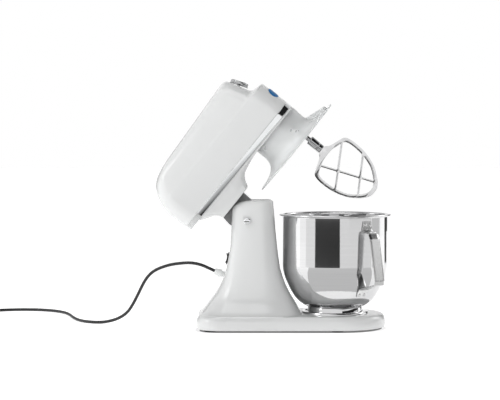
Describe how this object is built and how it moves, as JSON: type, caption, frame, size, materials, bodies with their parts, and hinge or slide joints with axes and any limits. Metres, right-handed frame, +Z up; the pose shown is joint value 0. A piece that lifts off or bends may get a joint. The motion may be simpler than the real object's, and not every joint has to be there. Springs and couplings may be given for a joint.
{
  "type": "stand mixer",
  "caption": "White tilt-head stand mixer with steel bowl and strap handle, clear splash guard with pouring chute, flat beater, speed knob, chrome band and mains lead.",
  "frame": {"origin": "floor level under the centre of the mixer's box without the mains lead", "axes": "+X towards the bowl, +Y to the mixer's left, +Z up"},
  "size_m": [0.9996, 0.4592, 0.5107],
  "materials": {
    "white_paint": "gloss white paint over die-cast aluminium",
    "chrome": "polished",
    "polished_steel": "polished",
    "machined_steel": "machined",
    "dark_plastic": "satin",
    "grey_plastic": "satin",
    "board": "satin",
    "black_rubber": "matte",
    "brass": "bright",
    "aluminium": "satin",
    "motor_metal": "satin",
    "clear_plastic": "clear",
    "blue_label": "plain printed disc, no mark"
  },
  "bodies": {
    "stand": {"base_casting": "white_paint", "bottom_plate": "grey_plastic", "foot_rear_left": "black_rubber", "foot_rear_right": "black_rubber", "foot_front_left": "black_rubber", "foot_front_right": "black_rubber", "bowl_seat": "polished_steel", "hinge_pin": "chrome", "pin_cap_left": "chrome", "pin_cap_right": "chrome", "switch_bezel": "dark_plastic", "cord_gland": "grey_plastic", "gland_nut": "grey_plastic", "control_board": "board", "cord_lead": "black_rubber", "cord_coil": "black_rubber", "mains_plug": "black_rubber", "plug_blade_1": "brass", "plug_blade_2": "brass"},
    "rocker": {"switch_rocker": "dark_plastic"},
    "head": {"head_shell": "white_paint", "trim_band": "chrome", "rear_vent": "white_paint", "lower_housing": "white_paint", "hinge_bracket": "dark_plastic", "badge": "blue_label", "ring_gear": "machined_steel", "speed_control": "grey_plastic", "gear_bridge": "aluminium", "bridge_post_1": "aluminium", "bridge_post_2": "aluminium", "bridge_post_3": "aluminium", "bridge_post_4": "aluminium", "motor_post_1": "aluminium", "motor_post_2": "aluminium", "motor_stator": "motor_metal", "splash_guard": "clear_plastic", "pouring_chute": "clear_plastic"},
    "knob": {"speed_knob": "chrome", "knob_pointer": "dark_plastic"},
    "carrier": {"planet_carrier": "aluminium", "hub_gear": "machined_steel"},
    "agitator": {"agitator_shaft": "chrome", "planet_pinion": "machined_steel", "drive_pin": "machined_steel", "beater_spring": "machined_steel", "beater_collar": "chrome", "flat_beater": "aluminium"},
    "idler": {"idler_pinion": "machined_steel", "idler_gear": "machined_steel", "idler_shaft": "machined_steel"},
    "motor": {"motor_rotor": "motor_metal", "motor_pinion": "machined_steel"},
    "bowl_set": {"bowl": "polished_steel", "bowl_foot": "polished_steel", "bowl_handle": "polished_steel", "handle_rivet_top_1": "polished_steel", "handle_rivet_top_2": "polished_steel", "handle_rivet_low_1": "polished_steel", "handle_rivet_low_2": "polished_steel"}
  },
  "joints": [
    {"name": "head_tilt", "type": "hinge", "parent": "stand", "child": "head", "pos_m": [-0.05435, 0.00906, 0.222], "axis": [0, -1, 0], "range_deg": [-51, 0]},
    {"name": "power_switch", "type": "hinge", "parent": "stand", "child": "rocker", "pos_m": [-0.09425, 0.00906, 0.143], "axis": [0, 1, 0], "range_deg": [0, 9]},
    {"name": "speed_dial", "type": "hinge", "parent": "head", "child": "knob", "pos_m": [-0.07322, 0.00906, 0.49489], "axis": [0.3173, 0, 0.9483], "range_deg": [0, 270]},
    {"name": "hub_spin", "type": "hinge", "parent": "head", "child": "carrier", "pos_m": [0.00409, 0.00906, 0.40539], "axis": [-0.7771, 0, 0.6293], "continuous": true},
    {"name": "beater_spin", "type": "hinge", "parent": "carrier", "child": "agitator", "pos_m": [0.02171, 0.00906, 0.42715], "axis": [-0.7771, 0, 0.6293], "continuous": true},
    {"name": "idler_spin", "type": "hinge", "parent": "head", "child": "idler", "pos_m": [-0.05711, 0.00906, 0.37749], "axis": [-0.7771, 0, 0.6293], "continuous": true},
    {"name": "motor_spin", "type": "hinge", "parent": "head", "child": "motor", "pos_m": [-0.09591, 0.00906, 0.36136], "axis": [-0.7771, 0, 0.6293], "continuous": true},
    {"name": "bowl_twist", "type": "hinge", "parent": "stand", "child": "bowl_set", "pos_m": [0.12495, 0.00906, 0.044], "axis": [0, 0, 1], "range_deg": [0, 28]}
  ],
  "couplings": [
    {"joint": "beater_spin", "follows": "hub_spin", "ratio": -3},
    {"joint": "idler_spin", "follows": "hub_spin", "ratio": -4},
    {"joint": "motor_spin", "follows": "hub_spin", "ratio": 12.8}
  ]
}
